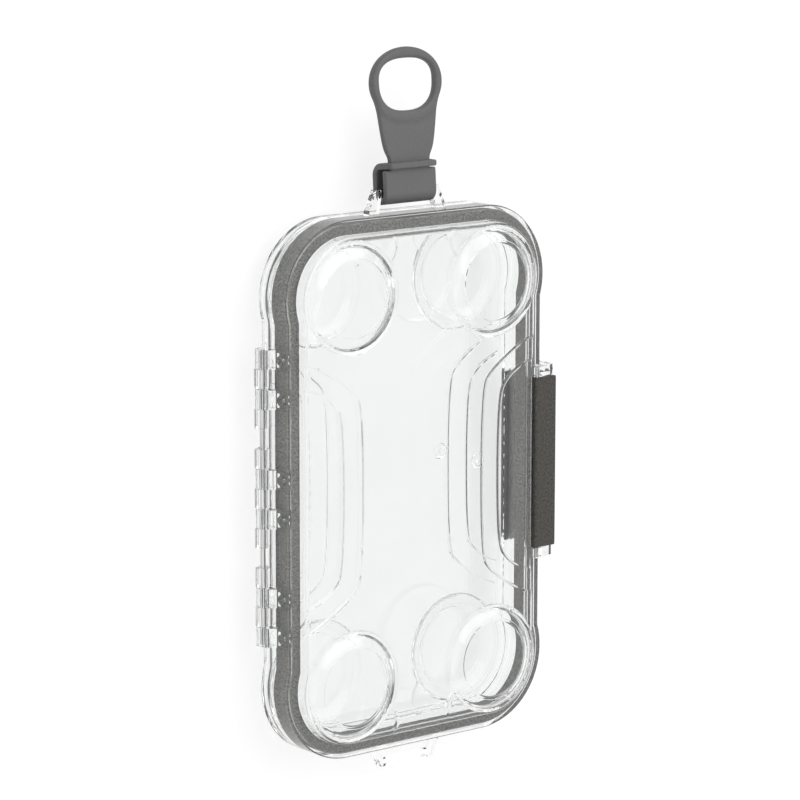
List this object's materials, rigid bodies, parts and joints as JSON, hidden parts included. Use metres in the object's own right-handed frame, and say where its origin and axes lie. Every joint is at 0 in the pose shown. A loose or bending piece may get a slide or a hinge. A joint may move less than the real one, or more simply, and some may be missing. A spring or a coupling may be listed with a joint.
{
  "type": "waterproof phone case",
  "caption": "Clear hinged dry case for a phone, with a soft seal liner, side latch, corner pads and a carry strap on a moulded loop.",
  "frame": {"origin": "middle of the case's outline on the surface that its four rear pads stand on", "axes": "+X from the hinge to the latch, +Y along the case towards the strap, +Z out of its front"},
  "size_m": [0.1134, 0.231, 0.0247],
  "materials": {
    "clear_front": "polished clear polycarbonate",
    "clear_rear": "polished clear polycarbonate",
    "liner": "fine moulded texture",
    "pin": "drawn",
    "latch": "satin",
    "strap": "matte silicone"
  },
  "bodies": {
    "rear": {"rear_cover": "clear_rear", "hinge_pin": "pin"},
    "front": {"front_cover": "clear_front", "seal_liner": "liner", "latch_pin": "pin"},
    "latch": {"latch": "latch"},
    "strap": {"carry_strap": "strap"}
  },
  "joints": [
    {"name": "lid_hinge", "type": "hinge", "parent": "rear", "child": "front", "pos_m": [-0.0539, 0, 0.0091], "axis": [0, -1, 0], "range_deg": [0, 150]},
    {"name": "latch_hinge", "type": "hinge", "parent": "front", "child": "latch", "pos_m": [0.0486, 0, 0.0208], "axis": [0, -1, 0], "range_deg": [0, 110]},
    {"name": "strap_swing", "type": "hinge", "parent": "front", "child": "strap", "pos_m": [0, 0.092, 0.0127], "axis": [1, 0, 0], "range_deg": [-8, 89]}
  ]
}
